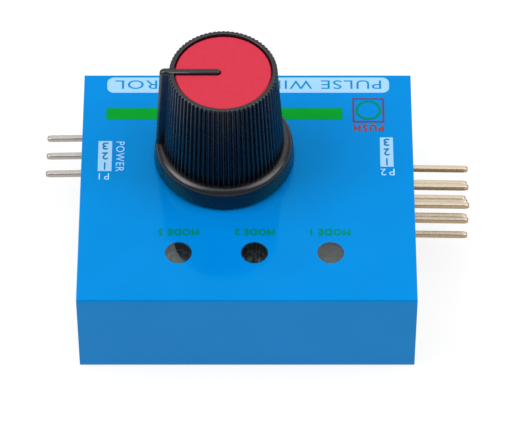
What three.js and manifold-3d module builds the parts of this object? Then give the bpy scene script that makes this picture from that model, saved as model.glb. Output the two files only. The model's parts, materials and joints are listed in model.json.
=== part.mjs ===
// Servo tester: a circuit board with a potentiometer, a push switch, three indicator lamps and two pin
// headers, wrapped in a folded sleeve of printed film. Units are millimetres. The origin is the centre of
// the sleeve's underside. +X points to the output header, -Y to the lamps and +Z up.
import * as THREE from 'three';
import { mergeVertices } from 'three/addons/utils/BufferGeometryUtils.js';
import Module from 'manifold-3d';

const wasm = await Module();
wasm.setup();

// ---------------------------------------------------------------------------------------------------
// Driving dimensions
// ---------------------------------------------------------------------------------------------------

const film = {
  length: 36,
  depth: 31.5,
  height: 11.4,
  thickness: 0.4,
  foldRadius: 0.45,
  flapReach: 10,
  freeEdgeInset: 0.5,
  holeGap: 0.25,
};

const tape = { length: 35, width: 8, thickness: 0.1, inset: 1.2 };

const board = { length: 35.2, depth: 30.2, thickness: 1.6, underside: 1.5 };
const boardTop = board.underside + board.thickness;
const holeRadius = { pin: 0.5, lead: 0.45, terminal: 0.6, tab: 1.2 };
const leadTip = 1.1;

const knob = {
  x: -2.5,
  y: 4,
  underside: 11.75,
  top: 25.55,
  flangeRadius: 7.6,
  flangeTopRadius: 7.45,
  flangeTop: 14.2,
  flangeRound: 0.25,
  coneRadius: 6.5,
  rimRadius: 5.75,
  rimRound: 0.25,
  ribs: 72,
  ribDepth: 0.22,
  ribEnd: 24.9,
  ribRunOut: 0.35,
  recessRadius: 5.2,
  recessFloor: 24.2,
  wall: 1.3,
  webThickness: 1.6,
  bossRadius: 4,
  bossUnderside: 14.9,
  finWidth: 0.9,
  finFoot: 7.4,
  finShoulder: 6.75,
  finRound: 0.4,
  finProud: 0.15,
  barWidth: 0.7,
  barStart: 0.3,
  barTop: 25.6,
  shaftHeadroom: 0.2,
};

const cap = { radius: 5.13, underside: 24.25, top: 25.3, round: 0.12, slotGap: 0.06 };

const pot = {
  halfWidth: 4.85,
  halfDepth: 5.35,
  baseHeight: 2,
  waferThickness: 0.8,
  waferInset: 0.15,
  coverGap: 0.05,
  coverWall: 0.4,
  coverSkirt: 4.6,
  coverTop: 9.4,
  coverRoof: 1,
  bushingRadius: 3.45,
  bushingTop: 14.4,
  flangeRadius: 4.4,
  flangeHeight: 0.4,
  shaftRadius: 3,
  runningGap: 0.05,
  shaftTop: 23.1,
  terminalPitch: 2.5,
  terminalWidth: 0.8,
  terminalThickness: 0.4,
  terminalDistance: 7,
  terminalHeight: 4.2,
  tabWidth: 2,
};

const rotor = {
  radius: 3.5,
  underside: 6.25,
  top: 7.6,
  lugTip: 4.3,
  lugWidth: 1.5,
  stopWidth: 2.2,
  stopTip: 3.8,
  collarRadius: 3.6,
  collarHeight: 0.6,
};

const wiper = { innerRadius: 1.4, outerRadius: 3.2, thickness: 0.15, tongueWidth: 0.6, tongueDrop: 0.15 };

const spline = { teeth: 18, depth: 0.25, start: 15, chamfer: 0.4, slotWidth: 1, slotDepth: 6 };

const lamp = {
  y: -9.3,
  underside: 5.6,
  flangeRadius: 1.9,
  flangeHeight: 1,
  radius: 1.5,
  height: 5.3,
  leadPitch: 2.54,
  leadWidth: 0.5,
};
const lamps = [
  { name: 'led_auto', x: -7.3 },
  { name: 'led_neutral', x: 0.8 },
  { name: 'led_man', x: 8.9 },
];

const button = {
  x: 13.25,
  y: 10.6,
  size: 6,
  baseHeight: 3.4,
  cavityRadius: 2.6,
  cavityFloor: 4.3,
  domeRadius: 2.3,
  domeHeight: 0.55,
  domeThickness: 0.1,
  coverThickness: 0.3,
  coverHole: 1.85,
  collarRadius: 2.4,
  collarHeight: 0.85,
  collarGap: 0.05,
  nubRadius: 1,
  stemRadius: 1.75,
  stemRound: 0.3,
  top: 10.6,
  contactWidth: 0.7,
  contactThickness: 0.3,
  contactOffset: 2.25,
  legOffset: 3.25,
  channelGap: 0.05,
};
const contactHeight = boardTop + 0.7;

const header = {
  pitch: 2.54,
  pinWidth: 0.64,
  pinChamfer: 0.1,
  holeWidth: 0.72,
  notch: 0.4,
  tipLength: 0.5,
  tipScale: 0.62,
  roundedLength: 0.18,
  roundedScale: 0.9,
  bendRadius: 0.5,
  legDistance: 1.5,
  reach: 6.1,
  droop: 0.14,
};
const inputHeader = { name: 'input', rows: 1, columns: 3, face: 16.2, y: 10, side: -1 };
const outputHeader = { name: 'output', rows: 3, columns: 3, face: 17.9, y: 1.4, side: 1 };

const controller = {
  x: -12.3,
  y: -3,
  length: 4.9,
  width: 3.9,
  height: 1.5,
  standOff: 0.1,
  span: 6,
  heel: 0.5,
  legPitch: 1.27,
  legWidth: 0.4,
  legThickness: 0.2,
};
const regulator = {
  x: -9.4,
  y: 12.3,
  length: 4.5,
  width: 2.5,
  height: 1.5,
  legPitch: 1.5,
  legWidth: 0.45,
  legThickness: 0.4,
  legReach: 0.9,
  tabReach: 0.6,
};
const chip = { length: 2, width: 1.25, bandLength: 0.4, bandProud: 0.03 };
const resistors = [
  { name: 'resistor_1', x: -7.3, y: -5, turn: 0 },
  { name: 'resistor_2', x: 0.8, y: -5, turn: 0 },
  { name: 'resistor_3', x: 7.4, y: -5, turn: 0 },
  { name: 'resistor_4', x: 7.4, y: 9.4, turn: 1 },
];
const capacitors = [
  { name: 'capacitor_1', x: -12.3, y: 2.2, turn: 0 },
  { name: 'capacitor_2', x: -9.4, y: 8.4, turn: 1 },
];
const resistorHeight = 0.55;
const capacitorHeight = 1.2;

// A cutting tool runs this far past the face it opens, and two joined pieces run this far into each other.
const overrun = 1;
const bite = 0.2;

// Sides of a round piece, for a small one, a plain one and the outside of the knob.
const sides = { small: 20, plain: 32, knob: 48 };

// ---------------------------------------------------------------------------------------------------
// Materials
// ---------------------------------------------------------------------------------------------------

function material(color, roughness, metalness = 0) {
  return new THREE.MeshStandardMaterial({ color, roughness, metalness });
}

const materials = {
  film: material('#0a8fe0', 0.18),
  tape: material('#e9e6dc', 0.6),
  laminate: material('#14603a', 0.45),
  knobBlack: material('#15161a', 0.42),
  capRed: material('#e03a50', 0.5),
  blackPlastic: material('#1c1d20', 0.5),
  phenolic: material('#8a5a2c', 0.7),
  steel: material('#b9bbbd', 0.35, 0.9),
  zinc: material('#c6c7c8', 0.3, 0.9),
  bronze: material('#c58f52', 0.3, 0.9),
  silver: material('#cfccc6', 0.25, 1),
  gold: material('#cbb083', 0.25, 1),
  nylon: material('#d8d4c8', 0.6),
  lampResin: material('#d9d6d0', 0.2),
  ceramic: material('#b89a73', 0.6),
};

// ---------------------------------------------------------------------------------------------------
// Solid building
// ---------------------------------------------------------------------------------------------------

const mergeTolerance = 1e-4;

function toSolid(geometry) {
  geometry.deleteAttribute('normal');
  geometry.deleteAttribute('uv');
  const merged = mergeVertices(geometry, mergeTolerance);
  const vertProperties = merged.attributes.position.array;
  const triVerts = merged.index.array;
  return new wasm.Manifold(new wasm.Mesh({ numProp: 3, vertProperties, triVerts }));
}

function toGeometry(solid) {
  const { vertProperties, triVerts } = solid.getMesh();
  const geometry = new THREE.BufferGeometry();
  geometry.setAttribute('position', new THREE.BufferAttribute(vertProperties, 3));
  geometry.setIndex(new THREE.BufferAttribute(triVerts, 1));
  geometry.computeVertexNormals();
  return geometry;
}

function join(...geometries) {
  return toGeometry(geometries.map(toSolid).reduce((whole, piece) => whole.add(piece)));
}

function cut(geometry, ...tools) {
  return toGeometry(tools.map(toSolid).reduce((whole, tool) => whole.subtract(tool), toSolid(geometry)));
}

// A closed solid through a row of rings. Every ring has the same number of points, in counter-clockwise
// order seen from the last ring's end. Each end is closed by a fan about the ring's middle.
function loft(rings) {
  const count = rings[0].length;
  const points = rings.flat();
  const middle = (ring) => ring.reduce((sum, p) => sum.add(p), new THREE.Vector3()).divideScalar(count);
  const first = points.push(middle(rings[0])) - 1;
  const last = points.push(middle(rings.at(-1))) - 1;
  const end = (rings.length - 1) * count;
  const index = [];
  for (let j = 0; j < count; j += 1) {
    const next = (j + 1) % count;
    for (let start = 0; start < end; start += count) {
      index.push(start + j, start + next, start + count + next);
      index.push(start + j, start + count + next, start + count + j);
    }
    index.push(first, next, j);
    index.push(last, end + j, end + next);
  }
  const geometry = new THREE.BufferGeometry().setFromPoints(points);
  geometry.setIndex(index);
  geometry.computeVertexNormals();
  return geometry;
}

// A ring about the Z axis. The radius may depend on the point's number, which makes teeth.
function ring(count, height, radiusAt) {
  return Array.from({ length: count }, (_, i) => {
    const angle = (2 * Math.PI * i) / count;
    const radius = radiusAt(i);
    return new THREE.Vector3(radius * Math.cos(angle), radius * Math.sin(angle), height);
  });
}

// A solid of revolution about the Z axis from [radius, height] pairs, flat at both ends.
function turned(profile, segments = sides.plain) {
  return loft(profile.map(([radius, height]) => ring(segments, height, () => radius)));
}

function disc(radius, bottom, top, segments = sides.plain) {
  return turned([[radius, bottom], [radius, top]], segments);
}

// A quarter of a circle as [radius, height] pairs, from upright at the outside to level at the top.
function roundedShoulder(radius, top, round, steps = 3) {
  return Array.from({ length: steps + 1 }, (_, i) => {
    const angle = (Math.PI / 2) * (i / steps);
    return [radius - round + round * Math.cos(angle), top - round + round * Math.sin(angle)];
  });
}

function block(x0, x1, y0, y1, z0, z1) {
  const geometry = new THREE.BoxGeometry(x1 - x0, y1 - y0, z1 - z0);
  return geometry.translate((x0 + x1) / 2, (y0 + y1) / 2, (z0 + z1) / 2);
}

// A block centred on the Z axis.
function centredBlock(width, depth, bottom, top) {
  return block(-width / 2, width / 2, -depth / 2, depth / 2, bottom, top);
}

function plate(shape, bottom, top, curveSegments = 6) {
  const settings = { depth: top - bottom, bevelEnabled: false, curveSegments };
  return new THREE.ExtrudeGeometry(shape, settings).translate(0, 0, bottom);
}

// The shape's own x and y become Y and Z, and it runs along X.
function plateAlongX(shape, x0, x1, curveSegments = 3) {
  const alongX = new THREE.Matrix4().makeBasis(
    new THREE.Vector3(0, 1, 0),
    new THREE.Vector3(0, 0, 1),
    new THREE.Vector3(1, 0, 0),
  );
  return plate(shape, x0, x1, curveSegments).applyMatrix4(alongX);
}

// The shape's own x and y become X and Z, and it is centred on Y = 0.
function plateAcrossY(shape, width, curveSegments = 4) {
  return plate(shape, -width / 2, width / 2, curveSegments).rotateX(Math.PI / 2);
}

function outline(points) {
  return new THREE.Shape(points.map(([x, y]) => new THREE.Vector2(x, y)));
}

function roundHole(x, y, radius) {
  return new THREE.Path().absarc(x, y, radius, 0, 2 * Math.PI, true);
}

function part(name, geometry, surface) {
  const mesh = new THREE.Mesh(geometry, surface);
  mesh.name = name;
  return mesh;
}

function assembly(x, y, ...pieces) {
  const group = new THREE.Group();
  group.position.set(x, y, 0);
  group.add(...pieces);
  return group;
}

// ---------------------------------------------------------------------------------------------------
// Film sleeve: one sheet wrapped once round the board, lapped and taped underneath, open at both ends
// ---------------------------------------------------------------------------------------------------

// Corners turn about a centre that is the fold radius in from both faces. The sheet starts at its free
// edge under the back, goes forward below the board, up the front, back over the top and down, and ends
// as a flap on the inside of where it began.
function sleeveSection() {
  const { thickness, foldRadius, height } = film;
  const side = film.depth / 2;
  const corner = side - foldRadius;
  const insideRadius = foldRadius - thickness;
  const flapUnderside = thickness + tape.thickness;
  const freeEdge = side - film.freeEdgeInset;
  const flapEnd = side - film.flapReach;
  const quarter = Math.PI / 2;
  const low = foldRadius;
  const high = height - foldRadius;
  const lapped = flapUnderside + foldRadius;
  const section = new THREE.Shape();
  section.moveTo(freeEdge, 0);
  section.lineTo(-corner, 0);
  section.absarc(-corner, low, foldRadius, -quarter, -2 * quarter, true);
  section.absarc(-corner, high, foldRadius, 2 * quarter, quarter, true);
  section.absarc(corner, high, foldRadius, quarter, 0, true);
  section.absarc(corner, lapped, foldRadius, 0, -quarter, true);
  section.lineTo(flapEnd, flapUnderside);
  section.lineTo(flapEnd, flapUnderside + thickness);
  section.absarc(corner, lapped, insideRadius, -quarter, 0, false);
  section.absarc(corner, high, insideRadius, 0, quarter, false);
  section.absarc(-corner, high, insideRadius, quarter, 2 * quarter, false);
  section.absarc(-corner, low, insideRadius, 2 * quarter, 3 * quarter, false);
  section.lineTo(freeEdge, thickness);
  return section;
}

function sleeve() {
  const half = film.length / 2;
  const holeTop = film.height + overrun;
  const bushingHole = disc(pot.bushingRadius + film.holeGap, film.height - overrun, holeTop);
  bushingHole.translate(knob.x, knob.y, 0);
  return part('sleeve', cut(plateAlongX(sleeveSection(), -half, half), bushingHole), materials.film);
}

function seamTape() {
  const back = film.depth / 2 - tape.inset;
  const half = tape.length / 2;
  const bottom = film.thickness;
  const strip = block(-half, half, back - tape.width, back, bottom, bottom + tape.thickness);
  return part('seam_tape', strip, materials.tape);
}

// ---------------------------------------------------------------------------------------------------
// Circuit board, with a hole for each lead
// ---------------------------------------------------------------------------------------------------

function headerLegs({ rows, columns, face, y, side }) {
  const legs = [];
  for (let row = 0; row < rows; row += 1) {
    for (let column = 0; column < columns; column += 1) {
      const inward = header.pitch + header.legDistance + row * header.pitch;
      legs.push({ x: side * (face - inward), y: y + (column - (columns - 1) / 2) * header.pitch });
    }
  }
  return legs;
}

function boardHoles() {
  const holes = [];
  for (const leg of [...headerLegs(inputHeader), ...headerLegs(outputHeader)]) {
    holes.push(roundHole(leg.x, leg.y, holeRadius.pin));
  }
  for (const { x } of lamps) {
    for (const sign of [-1, 1]) {
      holes.push(roundHole(x + (sign * lamp.leadPitch) / 2, lamp.y, holeRadius.lead));
    }
  }
  for (const place of [-1, 0, 1]) {
    const x = knob.x + place * pot.terminalPitch;
    holes.push(roundHole(x, knob.y + pot.terminalDistance, holeRadius.terminal));
  }
  for (const sign of [-1, 1]) {
    holes.push(roundHole(knob.x + sign * tabPlace(), knob.y, holeRadius.tab));
    for (const other of [-1, 1]) {
      const x = button.x + sign * button.contactOffset;
      holes.push(roundHole(x, button.y + other * button.legOffset, holeRadius.terminal));
    }
  }
  return holes;
}

function circuitBoard() {
  const x = board.length / 2;
  const y = board.depth / 2;
  const shape = outline([[-x, -y], [x, -y], [x, y], [-x, y]]);
  shape.holes.push(...boardHoles());
  return part('circuit_board', plate(shape, board.underside, boardTop, 4), materials.laminate);
}

// ---------------------------------------------------------------------------------------------------
// Potentiometer: base, wafer, terminals, metal cover with a bushing, and a rotor with its shaft
// ---------------------------------------------------------------------------------------------------

const waferBottom = boardTop + pot.baseHeight;
const waferTop = waferBottom + pot.waferThickness;
const roofUnderside = pot.coverTop - pot.coverRoof;

// How far the middle of a mounting tab is from the shaft's axis.
function tabPlace() {
  return pot.halfWidth + pot.coverGap + pot.coverWall / 2;
}

function potBase() {
  const base = centredBlock(2 * pot.halfWidth, 2 * pot.halfDepth, boardTop, waferBottom);
  return part('pot_base', base, materials.blackPlastic);
}

function potWafer() {
  const width = 2 * (pot.halfWidth - pot.waferInset);
  const depth = 2 * (pot.halfDepth - pot.waferInset);
  return part('pot_wafer', centredBlock(width, depth, waferBottom, waferTop), materials.phenolic);
}

// Each terminal leaves the back of the base and turns down through the board.
function potTerminal(number) {
  const { halfDepth, terminalThickness, terminalDistance, terminalHeight } = pot;
  const far = terminalDistance + terminalThickness / 2;
  const near = far - terminalThickness;
  const under = terminalHeight - terminalThickness;
  const shape = outline([
    [halfDepth, under],
    [near, under],
    [near, leadTip],
    [far, leadTip],
    [far, terminalHeight],
    [halfDepth, terminalHeight],
  ]);
  const middle = (number - 2) * pot.terminalPitch;
  const half = pot.terminalWidth / 2;
  return part(`pot_terminal_${number}`, plateAlongX(shape, middle - half, middle + half), materials.silver);
}

// A pressed metal box that slips over the base, with a stop inside its back wall and two mounting tabs.
function potCover() {
  const insideX = pot.halfWidth + pot.coverGap;
  const insideY = pot.halfDepth + pot.coverGap;
  const outsideX = insideX + pot.coverWall;
  const outsideY = insideY + pot.coverWall;
  const outside = centredBlock(2 * outsideX, 2 * outsideY, pot.coverSkirt, pot.coverTop);
  const inside = centredBlock(2 * insideX, 2 * insideY, pot.coverSkirt - overrun, roofUnderside);
  const shaftHole = disc(pot.shaftRadius + pot.runningGap, roofUnderside - overrun, pot.coverTop + overrun);
  const half = rotor.stopWidth / 2;
  const stop = block(-half, half, rotor.stopTip, insideY + bite, rotor.underside, roofUnderside + bite);
  const tabs = [-1, 1].map((sign) => {
    const tab = centredBlock(pot.coverWall, pot.tabWidth, leadTip, pot.coverSkirt + bite);
    return tab.translate(sign * tabPlace(), 0, 0);
  });
  return part('pot_cover', join(cut(outside, inside, shaftHole), stop, ...tabs), materials.steel);
}

function potBushing() {
  const flangeTop = pot.coverTop + pot.flangeHeight;
  const outside = turned([
    [pot.flangeRadius, pot.coverTop],
    [pot.flangeRadius, flangeTop],
    [pot.bushingRadius, flangeTop],
    [pot.bushingRadius, pot.bushingTop],
  ]);
  const bore = disc(pot.shaftRadius + pot.runningGap, pot.coverTop - overrun, pot.bushingTop + overrun);
  return part('pot_bushing', cut(outside, bore), materials.zinc);
}

// The rotor's lug stands where the knob's pointer stands, and meets the stop at both ends of the travel.
function potRotor() {
  const body = disc(rotor.radius, rotor.underside, rotor.top);
  const half = rotor.lugWidth / 2;
  const lug = block(-rotor.lugTip, -rotor.radius + half, -half, half, rotor.underside, rotor.top);
  return part('pot_rotor', join(body, lug), materials.nylon);
}

function potWiper() {
  const { innerRadius, outerRadius, thickness, tongueWidth, tongueDrop } = wiper;
  const bottom = rotor.underside - thickness;
  const washer = cut(
    disc(outerRadius, bottom, rotor.underside, sides.small),
    disc(innerRadius, bottom - overrun, rotor.underside + overrun, sides.small),
  );
  const half = tongueWidth / 2;
  const tongues = [innerRadius + tongueWidth, outerRadius - tongueWidth].map((radius) => (
    block(radius - half, radius + half, -half, half, bottom - tongueDrop, bottom + thickness / 2)
  ));
  return part('pot_wiper', join(washer, ...tongues), materials.bronze);
}

// A collar under the cover's roof, a plain journal in the bushing, then a split splined end.
function potShaft() {
  const { teeth, depth, start, chamfer, slotWidth, slotDepth } = spline;
  const collarTop = rotor.top + rotor.collarHeight;
  const journal = turned([
    [rotor.collarRadius, rotor.top],
    [rotor.collarRadius, collarTop],
    [pot.shaftRadius, collarTop],
    [pot.shaftRadius, start],
  ]);
  const toothed = (height, inset) => {
    const tip = pot.shaftRadius - inset;
    return ring(2 * teeth, height, (i) => tip - (i % 2) * depth);
  };
  const splined = loft([
    toothed(start, 0),
    toothed(pot.shaftTop - chamfer, 0),
    toothed(pot.shaftTop, chamfer),
  ]);
  const wide = 2 * knob.bossRadius;
  const slot = centredBlock(slotWidth, wide, pot.shaftTop - slotDepth, pot.shaftTop + overrun);
  return part('pot_shaft', cut(join(journal, splined), slot), materials.zinc);
}

function potentiometer() {
  return assembly(
    knob.x,
    knob.y,
    potBase(),
    potWafer(),
    ...[1, 2, 3].map(potTerminal),
    potCover(),
    potBushing(),
    potRotor(),
    potWiper(),
    potShaft(),
  );
}

// ---------------------------------------------------------------------------------------------------
// Knob: a ribbed cone on a plain flange, with a pointer fin and a red cap let into its top
// ---------------------------------------------------------------------------------------------------

function coneRadiusAt(height) {
  const climb = (height - knob.flangeTop) / (knob.top - knob.flangeTop);
  return THREE.MathUtils.lerp(knob.coneRadius, knob.rimRadius, climb);
}

function knobCone() {
  const toothed = (height) => {
    const tip = coneRadiusAt(height);
    return ring(2 * knob.ribs, height, (i) => tip - (i % 2) * knob.ribDepth);
  };
  const plain = ([radius, height]) => ring(2 * knob.ribs, height, () => radius);
  const sunk = knob.flangeTop - knob.flangeRound;
  return loft([
    toothed(sunk),
    toothed(knob.ribEnd - knob.ribRunOut),
    plain([coneRadiusAt(knob.ribEnd), knob.ribEnd]),
    ...roundedShoulder(knob.rimRadius, knob.top, knob.rimRound, 2).map(plain),
  ]);
}

function knobFlange() {
  return turned([
    [knob.flangeRadius, knob.underside],
    ...roundedShoulder(knob.flangeTopRadius, knob.flangeTop, knob.flangeRound, 2),
  ], sides.knob);
}

// The fin stands on the flange, leans in like the cone and turns over the rim.
function knobFin() {
  const top = knob.top + knob.finProud;
  const foot = knob.flangeTop - knob.flangeRound;
  const root = knob.recessRadius + bite;
  const turn = -knob.finShoulder + knob.finRound;
  const shape = new THREE.Shape();
  shape.moveTo(-root, foot);
  shape.lineTo(-root, top);
  shape.lineTo(turn, top);
  shape.absarc(turn, top - knob.finRound, knob.finRound, Math.PI / 2, Math.PI, false);
  shape.lineTo(-knob.finFoot, foot);
  return plateAcrossY(shape, knob.finWidth);
}

// The bar and the slot it stands in have the same outline: a strip with a round end near the axis.
function barOutline(width) {
  const half = width / 2;
  const endCentre = -knob.barStart - knob.barWidth / 2;
  const outerEnd = -knob.recessRadius - bite;
  const shape = new THREE.Shape();
  shape.moveTo(outerEnd, -half);
  shape.lineTo(endCentre, -half);
  shape.absarc(endCentre, 0, half, -Math.PI / 2, Math.PI / 2, false);
  shape.lineTo(outerEnd, half);
  return shape;
}

function knobHollow() {
  const roof = knob.recessFloor - knob.webThickness;
  const shelf = knob.flangeTop - knob.flangeRound;
  return turned([
    [knob.flangeTopRadius - knob.wall, knob.underside - overrun],
    [knob.flangeTopRadius - knob.wall, shelf - knob.wall / 2],
    [coneRadiusAt(shelf) - knob.wall, shelf],
    [coneRadiusAt(roof) - knob.wall, roof],
  ]);
}

function knobBody() {
  const roof = knob.recessFloor - knob.webThickness;
  const recess = disc(knob.recessRadius, knob.recessFloor, knob.top + overrun, sides.knob);
  const shell = cut(join(knobCone(), knobFlange(), knobFin()), recess, knobHollow());
  const bar = plate(barOutline(knob.barWidth), knob.recessFloor - bite, knob.barTop);
  const boss = disc(knob.bossRadius, knob.bossUnderside, roof + bite);
  const boreRadius = pot.shaftRadius + pot.runningGap;
  const bore = disc(boreRadius, knob.bossUnderside - overrun, pot.shaftTop + knob.shaftHeadroom);
  return part('knob_body', cut(join(shell, bar, boss), bore), materials.knobBlack);
}

function knobCap() {
  const edge = roundedShoulder(cap.radius, cap.top, cap.round, 1);
  const plug = turned([[cap.radius, cap.underside], ...edge], sides.knob);
  const slotWidth = knob.barWidth + 2 * cap.slotGap;
  const slot = plate(barOutline(slotWidth), cap.underside - overrun, cap.top + overrun);
  return part('knob_cap', cut(plug, slot), materials.capRed);
}

function knobAssembly() {
  return assembly(knob.x, knob.y, knobBody(), knobCap());
}

// ---------------------------------------------------------------------------------------------------
// Indicator lamps: a round resin body on two leads
// ---------------------------------------------------------------------------------------------------

function lampBody(name) {
  const flangeTop = lamp.underside + lamp.flangeHeight;
  const top = lamp.underside + lamp.height;
  const pole = 4;
  const body = turned([
    [lamp.flangeRadius, lamp.underside],
    [lamp.flangeRadius, flangeTop],
    [lamp.radius, flangeTop],
    ...roundedShoulder(lamp.radius, top, lamp.radius, pole).slice(0, pole),
    [lamp.radius / 8, top],
  ], sides.small);
  return part(name, body, materials.lampResin);
}

function lampLead(name, sign) {
  const lead = centredBlock(lamp.leadWidth, lamp.leadWidth, leadTip, lamp.underside);
  return part(name, lead.translate((sign * lamp.leadPitch) / 2, 0, 0), materials.silver);
}

function indicatorLamp({ name, x }) {
  const leads = [lampLead(`${name}_cathode`, -1), lampLead(`${name}_anode`, 1)];
  return assembly(x, lamp.y, lampBody(name), ...leads);
}

// ---------------------------------------------------------------------------------------------------
// Push switch below the film: base, two contact frames, snap dome, plunger and cover plate
// ---------------------------------------------------------------------------------------------------

const baseTop = boardTop + button.baseHeight;

function switchBase() {
  const body = centredBlock(button.size, button.size, boardTop, baseTop);
  const cavity = disc(button.cavityRadius, button.cavityFloor, baseTop + overrun);
  const channels = [-1, 1].map((sign) => {
    const width = button.contactWidth + 2 * button.channelGap;
    const bottom = contactHeight - button.channelGap;
    const top = contactHeight + button.contactThickness + button.channelGap;
    const channel = centredBlock(width, button.size + overrun, bottom, top);
    return channel.translate(sign * button.contactOffset, 0, 0);
  });
  return part('switch_base', cut(body, cavity, ...channels), materials.blackPlastic);
}

// A strip through the base with a leg turned down at each end.
function switchContact(number) {
  const { contactThickness, legOffset, contactWidth, contactOffset } = button;
  const outer = legOffset + contactThickness / 2;
  const inner = legOffset - contactThickness / 2;
  const top = contactHeight + contactThickness;
  const shape = outline([
    [-outer, leadTip],
    [-inner, leadTip],
    [-inner, contactHeight],
    [inner, contactHeight],
    [inner, leadTip],
    [outer, leadTip],
    [outer, top],
    [-outer, top],
  ]);
  const middle = number === 1 ? -contactOffset : contactOffset;
  const frame = plateAlongX(shape, middle - contactWidth / 2, middle + contactWidth / 2);
  return part(`switch_contact_${number}`, frame, materials.silver);
}

// A spherical cap of even thickness, standing on its edge.
function domeProfile(lift) {
  const { domeRadius, domeHeight } = button;
  const sphere = (domeRadius ** 2 + domeHeight ** 2) / (2 * domeHeight);
  const edgeAngle = Math.asin(domeRadius / sphere);
  const steps = 4;
  return Array.from({ length: steps }, (_, i) => {
    const angle = edgeAngle * (1 - i / steps);
    const radius = sphere * Math.sin(angle);
    return [radius, button.cavityFloor + lift + sphere * Math.cos(angle) - sphere + domeHeight];
  });
}

function switchDome() {
  const below = [button.domeRadius, button.cavityFloor - overrun];
  const outside = turned(domeProfile(0), sides.small);
  const inside = turned([below, ...domeProfile(-button.domeThickness)], sides.small);
  return part('switch_dome', cut(outside, inside), materials.steel);
}

function switchPlunger() {
  const collarTop = baseTop - button.collarGap;
  const collarBottom = collarTop - button.collarHeight;
  const domeTop = button.cavityFloor + button.domeHeight;
  const plunger = turned([
    [button.nubRadius, domeTop + button.collarGap],
    [button.nubRadius, collarBottom],
    [button.collarRadius, collarBottom],
    [button.collarRadius, collarTop],
    [button.stemRadius, collarTop],
    ...roundedShoulder(button.stemRadius, button.top, button.stemRound, 1),
  ], sides.small);
  return part('switch_plunger', plunger, materials.blackPlastic);
}

function switchCover() {
  const coverTop = baseTop + button.coverThickness;
  const lid = centredBlock(button.size, button.size, baseTop, coverTop);
  const hole = disc(button.coverHole, baseTop - overrun, coverTop + overrun);
  return part('switch_cover', cut(lid, hole), materials.steel);
}

function pushSwitch() {
  const contacts = [1, 2].map(switchContact);
  const moving = [switchDome(), switchPlunger()];
  return assembly(button.x, button.y, switchBase(), ...contacts, ...moving, switchCover());
}

// ---------------------------------------------------------------------------------------------------
// Right-angle pin headers, built to face +X and turned round for the input side
// ---------------------------------------------------------------------------------------------------

// The outline of a block of cells, with a small notch between neighbours and a chamfer at each corner.
function cellEdge(cells, notch) {
  const half = (cells * header.pitch) / 2;
  const points = [];
  for (let cell = 0; cell < cells; cell += 1) {
    const start = -half + cell * header.pitch;
    if (cell > 0) {
      points.push([start, -notch]);
    }
    points.push([start + notch, 0]);
    points.push([start + header.pitch - notch, 0]);
  }
  return points;
}

function housingOutline(columns, rows) {
  const halfWidth = (columns * header.pitch) / 2;
  const height = rows * header.pitch;
  const middle = boardTop + height / 2;
  const across = cellEdge(columns, header.notch);
  const upright = cellEdge(rows, header.notch);
  return outline([
    ...across.map(([along, out]) => [along, boardTop - out]),
    ...upright.map(([along, out]) => [halfWidth + out, middle + along]),
    ...across.map(([along, out]) => [-along, boardTop + height + out]),
    ...upright.map(([along, out]) => [-halfWidth - out, middle - along]),
  ]);
}

function columnPlace(column, columns) {
  return (column - (columns - 1) / 2) * header.pitch;
}

function rowHeight(row) {
  return boardTop + (row + 0.5) * header.pitch;
}

function headerHousing({ name, rows, columns, face }) {
  const back = face - header.pitch;
  const half = header.holeWidth / 2;
  const holes = [];
  for (let row = 0; row < rows; row += 1) {
    for (let column = 0; column < columns; column += 1) {
      const y = columnPlace(column, columns);
      const z = rowHeight(row);
      holes.push(block(back - overrun, face + overrun, y - half, y + half, z - half, z + half));
    }
  }
  const housing = cut(plateAlongX(housingOutline(columns, rows), back, face), ...holes);
  return part(`${name}_header_housing`, housing, materials.blackPlastic);
}

// An eight-sided ring across a path that stays in an upright plane. The angle is the path's climb.
function pinRing(x, z, climb, scale) {
  const flat = (header.pinWidth / 2) * scale;
  const corner = flat - header.pinChamfer * scale;
  const section = [
    [flat, -corner], [flat, corner], [corner, flat], [-corner, flat],
    [-flat, corner], [-flat, -corner], [-corner, -flat], [corner, -flat],
  ];
  return section.map(([across, along]) => (
    new THREE.Vector3(x + across * Math.sin(climb), along, z - across * Math.cos(climb))
  ));
}

// From the tail below the board, up the leg, round the bend and out through the housing. Outside the
// housing the pin sags a little.
function headerPin({ name, columns, face }, row, column) {
  const legX = face - header.pitch - header.legDistance - row * header.pitch;
  const height = rowHeight(row);
  const tip = face + header.reach;
  const upright = Math.PI / 2;
  const bendSteps = 3;
  const bend = Array.from({ length: bendSteps + 1 }, (_, i) => {
    const climb = upright * (1 - i / bendSteps);
    const x = legX + header.bendRadius * (1 - Math.sin(climb));
    return pinRing(x, height - header.bendRadius * (1 - Math.cos(climb)), climb, 1);
  });
  const outside = (fromTip, scale) => {
    const sag = header.droop * (1 - fromTip / header.reach);
    return pinRing(tip - fromTip, height - sag, 0, scale);
  };
  const pin = loft([
    pinRing(legX, leadTip, upright, header.tipScale),
    pinRing(legX, leadTip + header.tipLength / 2, upright, 1),
    ...bend,
    pinRing(face, height, 0, 1),
    outside(header.tipLength, 1),
    outside(header.roundedLength, header.roundedScale),
    outside(0, header.tipScale),
  ]);
  pin.translate(0, columnPlace(column, columns), 0);
  const number = row * columns + column + 1;
  const surface = name === 'input' ? materials.silver : materials.gold;
  return part(`${name}_pin_${number}`, pin, surface);
}

function pinHeader(plan) {
  const pins = [];
  for (let row = 0; row < plan.rows; row += 1) {
    for (let column = 0; column < plan.columns; column += 1) {
      pins.push(headerPin(plan, row, column));
    }
  }
  const group = assembly(0, plan.y, headerHousing(plan), ...pins);
  group.rotation.z = plan.side < 0 ? Math.PI : 0;
  return group;
}

// ---------------------------------------------------------------------------------------------------
// Surface-mounted parts
// ---------------------------------------------------------------------------------------------------

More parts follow.
